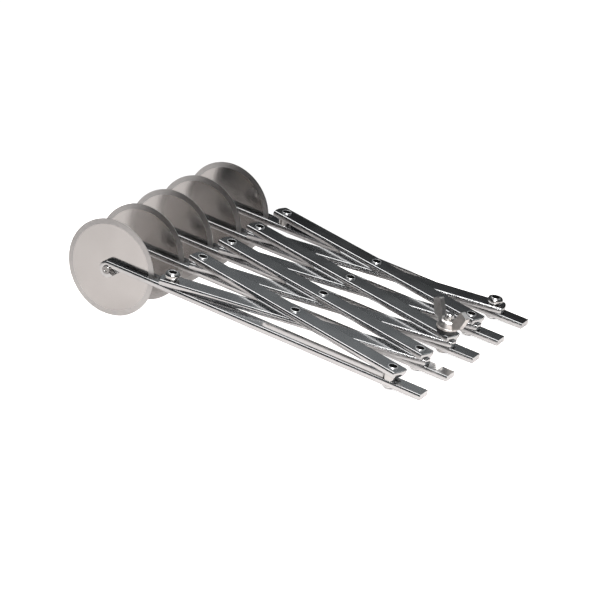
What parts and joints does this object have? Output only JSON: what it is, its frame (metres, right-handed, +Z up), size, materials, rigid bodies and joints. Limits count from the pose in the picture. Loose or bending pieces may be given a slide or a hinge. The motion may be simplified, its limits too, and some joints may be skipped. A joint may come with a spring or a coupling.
{
  "type": "expanding pastry cutter",
  "caption": "Expanding pastry cutter: parallel slotted arms, each with a plain round cutting wheel, spread evenly by a lazy-tongs linkage and locked by a wing nut.",
  "frame": {"origin": "middle of the object's base: on the surface it rests on, halfway between the front of the wheels and the tips of the arms, under the middle arm", "axes": "+X from the cutting wheels to the tips of the arms, +Y from arm 1 to arm 5 along the wheel axles, +Z up"},
  "size_m": [0.2206, 0.1352, 0.055],
  "materials": {
    "bar_steel": "polished stainless steel bar with rolled edges",
    "wheel_steel": "mirror-polished stainless steel plate with a ground bevel",
    "rivet_steel": "bright formed stainless steel",
    "nut_steel": "cast and tumbled stainless steel",
    "washer_steel": "blackened steel"
  },
  "bodies": {
    "arm_1_body": {"arm_1": "bar_steel", "wheel_axle_1": "rivet_steel", "front_rivet_1": "rivet_steel", "front_collar": "rivet_steel"},
    "wheel_1_body": {"wheel_1": "wheel_steel"},
    "arm_2_body": {"arm_2": "bar_steel", "wheel_axle_2": "rivet_steel", "front_rivet_2": "rivet_steel"},
    "wheel_2_body": {"wheel_2": "wheel_steel"},
    "arm_3_body": {"arm_3": "bar_steel", "wheel_axle_3": "rivet_steel", "front_rivet_3": "rivet_steel"},
    "wheel_3_body": {"wheel_3": "wheel_steel"},
    "arm_4_body": {"arm_4": "bar_steel", "wheel_axle_4": "rivet_steel", "front_rivet_4": "rivet_steel"},
    "wheel_4_body": {"wheel_4": "wheel_steel"},
    "arm_5_body": {"arm_5": "bar_steel", "wheel_axle_5": "rivet_steel", "front_rivet_5": "rivet_steel", "front_spacer": "rivet_steel"},
    "wheel_5_body": {"wheel_5": "wheel_steel"},
    "low_link_1_body": {"low_link_1": "bar_steel", "middle_rivet_1": "rivet_steel"},
    "high_link_1_body": {"high_link_1": "bar_steel", "rear_rivet_1": "rivet_steel", "rear_spacer": "rivet_steel"},
    "low_link_2_body": {"low_link_2": "bar_steel", "middle_rivet_2": "rivet_steel"},
    "high_link_2_body": {"high_link_2": "bar_steel", "rear_rivet_2": "rivet_steel"},
    "low_link_3_body": {"low_link_3": "bar_steel", "middle_rivet_3": "rivet_steel"},
    "high_link_3_body": {"high_link_3": "bar_steel", "clamp_stud": "rivet_steel", "clamp_washer": "washer_steel"},
    "low_link_4_body": {"low_link_4": "bar_steel", "middle_rivet_4": "rivet_steel", "rear_rivet_5": "rivet_steel", "rear_collar": "rivet_steel"},
    "high_link_4_body": {"high_link_4": "bar_steel", "rear_rivet_4": "rivet_steel"},
    "wing_nut_body": {"wing_nut": "nut_steel"}
  },
  "joints": [
    {"name": "spread", "type": "hinge", "parent": "arm_3_body", "child": "low_link_3_body", "pos_m": [-0.04432, 0, 0.02666], "axis": [0.1489, 0, 0.9888], "range_deg": [-7.7, 50.8]},
    {"name": "low_3_to_high_3", "type": "hinge", "parent": "low_link_3_body", "child": "high_link_3_body", "pos_m": [0.02353, 0.0153, 0.01988], "axis": [0.1489, 0, 0.9888], "range_deg": [-101.6, 15.4]},
    {"name": "high_3_to_arm_4", "type": "hinge", "parent": "high_link_3_body", "child": "arm_4_body", "pos_m": [-0.04433, 0.0306, 0.02656], "axis": [0.1489, 0, 0.9888], "range_deg": [-7.7, 50.8]},
    {"name": "arm_4_to_low_4", "type": "hinge", "parent": "arm_4_body", "child": "low_link_4_body", "pos_m": [-0.04432, 0.0306, 0.02666], "axis": [0.1489, 0, 0.9888], "range_deg": [-7.7, 50.8]},
    {"name": "low_4_to_high_4", "type": "hinge", "parent": "low_link_4_body", "child": "high_link_4_body", "pos_m": [0.02353, 0.0459, 0.01988], "axis": [0.1489, 0, 0.9888], "range_deg": [-101.6, 15.4]},
    {"name": "high_4_to_arm_5", "type": "hinge", "parent": "high_link_4_body", "child": "arm_5_body", "pos_m": [-0.04433, 0.0612, 0.02656], "axis": [0.1489, 0, 0.9888], "range_deg": [-7.7, 50.8]},
    {"name": "arm_3_to_high_2", "type": "hinge", "parent": "arm_3_body", "child": "high_link_2_body", "pos_m": [-0.04381, 0, 0.03002], "axis": [0.1489, 0, 0.9888], "range_deg": [-50.8, 7.7]},
    {"name": "high_2_to_low_2", "type": "hinge", "parent": "high_link_2_body", "child": "low_link_2_body", "pos_m": [0.02302, -0.0153, 0.01651], "axis": [0.1489, 0, 0.9888], "range_deg": [-15.4, 101.6]},
    {"name": "low_2_to_arm_2", "type": "hinge", "parent": "low_link_2_body", "child": "arm_2_body", "pos_m": [-0.04433, -0.0306, 0.02656], "axis": [0.1489, 0, 0.9888], "range_deg": [-50.8, 7.7]},
    {"name": "arm_2_to_high_1", "type": "hinge", "parent": "arm_2_body", "child": "high_link_1_body", "pos_m": [-0.04381, -0.0306, 0.03002], "axis": [0.1489, 0, 0.9888], "range_deg": [-50.8, 7.7]},
    {"name": "high_1_to_low_1", "type": "hinge", "parent": "high_link_1_body", "child": "low_link_1_body", "pos_m": [0.02302, -0.0459, 0.01651], "axis": [0.1489, 0, 0.9888], "range_deg": [-15.4, 101.6]},
    {"name": "low_1_to_arm_1", "type": "hinge", "parent": "low_link_1_body", "child": "arm_1_body", "pos_m": [-0.04433, -0.0612, 0.02656], "axis": [0.1489, 0, 0.9888], "range_deg": [-50.8, 7.7]},
    {"name": "wheel_1_spin", "type": "hinge", "parent": "arm_1_body", "child": "wheel_1_body", "pos_m": [-0.08282, -0.0612, 0.0275], "axis": [0, 1, 0], "continuous": true},
    {"name": "wheel_2_spin", "type": "hinge", "parent": "arm_2_body", "child": "wheel_2_body", "pos_m": [-0.08282, -0.0306, 0.0275], "axis": [0, 1, 0], "continuous": true},
    {"name": "wheel_3_spin", "type": "hinge", "parent": "arm_3_body", "child": "wheel_3_body", "pos_m": [-0.08282, 0, 0.0275], "axis": [0, 1, 0], "continuous": true},
    {"name": "wheel_4_spin", "type": "hinge", "parent": "arm_4_body", "child": "wheel_4_body", "pos_m": [-0.08282, 0.0306, 0.0275], "axis": [0, 1, 0], "continuous": true},
    {"name": "wheel_5_spin", "type": "hinge", "parent": "arm_5_body", "child": "wheel_5_body", "pos_m": [-0.08282, 0.0612, 0.0275], "axis": [0, 1, 0], "continuous": true},
    {"name": "wing_nut_turn", "type": "hinge", "parent": "high_link_3_body", "child": "wing_nut_body", "pos_m": [0.09171, 0, 0.01527], "axis": [0.1489, 0, 0.9888], "continuous": true}
  ],
  "couplings": [
    {"joint": "low_3_to_high_3", "follows": "spread", "ratio": -2},
    {"joint": "high_3_to_arm_4", "follows": "spread", "ratio": 1},
    {"joint": "arm_4_to_low_4", "follows": "spread", "ratio": 1},
    {"joint": "low_4_to_high_4", "follows": "spread", "ratio": -2},
    {"joint": "high_4_to_arm_5", "follows": "spread", "ratio": 1},
    {"joint": "arm_3_to_high_2", "follows": "spread", "ratio": -1},
    {"joint": "high_2_to_low_2", "follows": "spread", "ratio": 2},
    {"joint": "low_2_to_arm_2", "follows": "spread", "ratio": -1},
    {"joint": "arm_2_to_high_1", "follows": "spread", "ratio": -1},
    {"joint": "high_1_to_low_1", "follows": "spread", "ratio": 2},
    {"joint": "low_1_to_arm_1", "follows": "spread", "ratio": -1}
  ]
}
